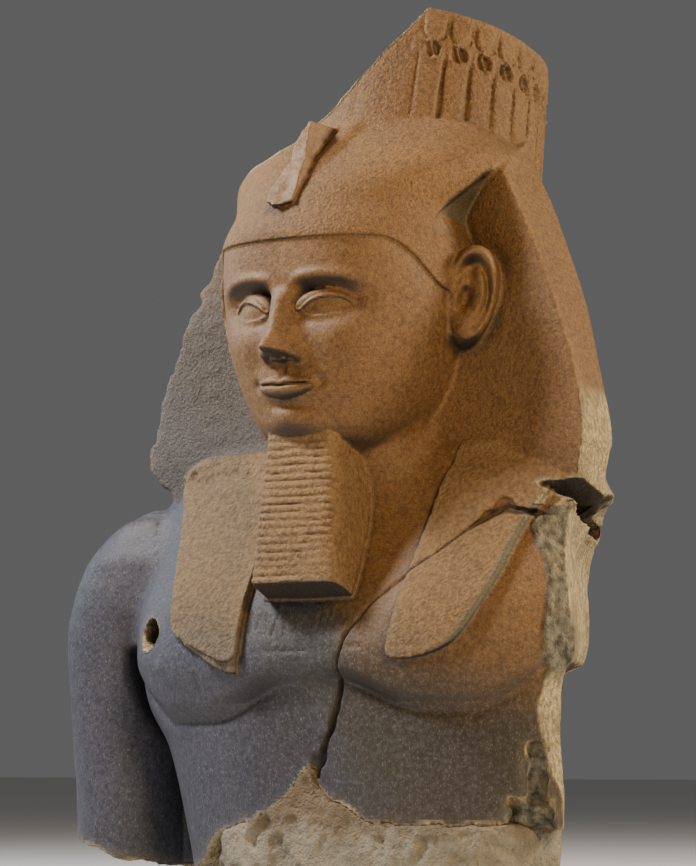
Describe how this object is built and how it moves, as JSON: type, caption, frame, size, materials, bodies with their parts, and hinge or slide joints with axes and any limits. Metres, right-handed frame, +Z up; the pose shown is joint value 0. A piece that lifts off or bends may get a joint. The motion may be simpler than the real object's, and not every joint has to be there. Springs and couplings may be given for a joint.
{
  "type": "egyptian pharaoh statue",
  "caption": "Broken granite bust of an Egyptian pharaoh with headcloth, straight beard and the base of a cobra crown, bedded in a low rough stone block",
  "frame": {"origin": "on the support block's flat underside, under the middle plane of the face", "axes": "+Z up, -Y the way the face looks, +X towards the statue's own left, which is its broken side"},
  "size_m": [1.8947, 1.1939, 2.7035],
  "materials": {
    "granite": "two-tone granite, warm brown head and grey-blue body, carved, partly polished, rough where broken",
    "rough_stone": "rough pale stone and lime mortar"
  },
  "bodies": {
    "root": {"pharaoh_bust": "granite", "support_block": "rough_stone"}
  },
  "joints": []
}
